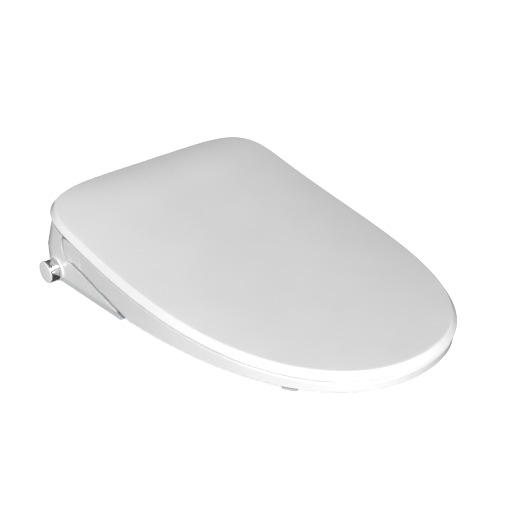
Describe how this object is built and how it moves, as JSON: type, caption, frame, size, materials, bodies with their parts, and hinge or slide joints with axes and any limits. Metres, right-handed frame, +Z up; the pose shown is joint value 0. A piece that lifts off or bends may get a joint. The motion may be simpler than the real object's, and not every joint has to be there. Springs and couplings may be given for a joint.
{
  "type": "electric bidet seat",
  "caption": "Elongated electric bidet seat with a sloping closed lid, hinged seat ring, rear housing and a round side knob.",
  "frame": {"origin": "midway between the two bowl bolts, on the rim plane", "axes": "+Z up, +Y to the rear, knob on the -X side"},
  "size_m": [0.398, 0.5054, 0.1048],
  "materials": {
    "white_gloss": "gloss",
    "grey_tray": "satin",
    "white_matte": "matt",
    "grey_plastic": "matt",
    "rubber": "matt",
    "steel": "brushed",
    "brass": "machined",
    "copper_coil": "matt",
    "chrome": "mirror",
    "satin": "satin",
    "board_green": "matt",
    "heater_foil": "foil"
  },
  "bodies": {
    "base": {"base_tray": "grey_tray", "rear_cover": "white_gloss", "mounting_plate": "white_matte", "foot_pads": "rubber", "housing_screws": "steel", "nozzle_barrels": "grey_plastic", "nozzle_wipers": "rubber", "knob_ring": "white_matte", "control_valve_body": "white_matte", "inlet_connector": "brass", "inlet_filter": "steel", "solenoid_valve": "grey_plastic", "solenoid_coil": "copper_coil", "flow_sensor": "grey_plastic", "heater_tank": "grey_plastic", "heater_element": "steel", "tank_thermostat": "grey_plastic", "vacuum_breaker": "grey_plastic", "supply_hose": "rubber", "rear_wash_elbow": "grey_plastic", "front_wash_elbow": "grey_plastic", "control_board": "board_green", "board_posts": "white_matte", "transformer": "grey_plastic", "power_gland": "grey_plastic", "seat_hinge_pins": "steel", "lid_dampers": "grey_plastic"},
    "seat": {"seat_upper": "white_gloss", "seat_lower": "grey_tray", "seat_heater": "heater_foil", "seat_bumpers": "rubber", "occupancy_sensor": "white_matte", "seat_screws": "steel", "seat_dampers": "grey_plastic"},
    "lid_carrier": {"lid_hinge_shafts": "steel"},
    "lid": {"lid": "white_gloss", "lid_pads": "rubber"},
    "knob": {"knob_sleeve": "chrome", "knob_cap": "satin", "valve_spindle": "brass"},
    "rear_nozzle": {"rear_nozzle": "white_matte", "rear_nozzle_tip": "white_matte"},
    "front_nozzle": {"front_nozzle": "white_matte", "front_nozzle_tip": "white_matte"},
    "release_button": {"release_button": "white_gloss"}
  },
  "joints": [
    {"name": "seat_hinge", "type": "hinge", "parent": "base", "child": "seat", "pos_m": [0, -0.0095, 0.0575], "axis": [-1, 0, 0], "range_deg": [0, 95]},
    {"name": "lid_follow", "type": "hinge", "parent": "base", "child": "lid_carrier", "pos_m": [0, 0.04, 0.063], "axis": [-1, 0, 0], "range_deg": [0, 95]},
    {"name": "lid_hinge", "type": "hinge", "parent": "lid_carrier", "child": "lid", "pos_m": [0, 0.04, 0.063], "axis": [1, 0, 0], "range_deg": [-98, 0]},
    {"name": "knob_turn", "type": "hinge", "parent": "base", "child": "knob", "pos_m": [-0.19, 0.0275, 0.0173], "axis": [-1, 0, 0], "range_deg": [-90, 90]},
    {"name": "rear_nozzle_slide", "type": "slide", "parent": "base", "child": "rear_nozzle", "axis": [0, -0.9781, -0.2079], "range_m": [0, 0.095], "stiffness_N_per_m": 12},
    {"name": "front_nozzle_slide", "type": "slide", "parent": "base", "child": "front_nozzle", "axis": [0, -0.9781, -0.2079], "range_m": [0, 0.095], "stiffness_N_per_m": 12},
    {"name": "release_press", "type": "slide", "parent": "base", "child": "release_button", "axis": [-1, 0, 0], "range_m": [0, 0.003], "stiffness_N_per_m": 1200}
  ],
  "couplings": [
    {"joint": "lid_follow", "follows": "seat_hinge", "ratio": 1}
  ]
}
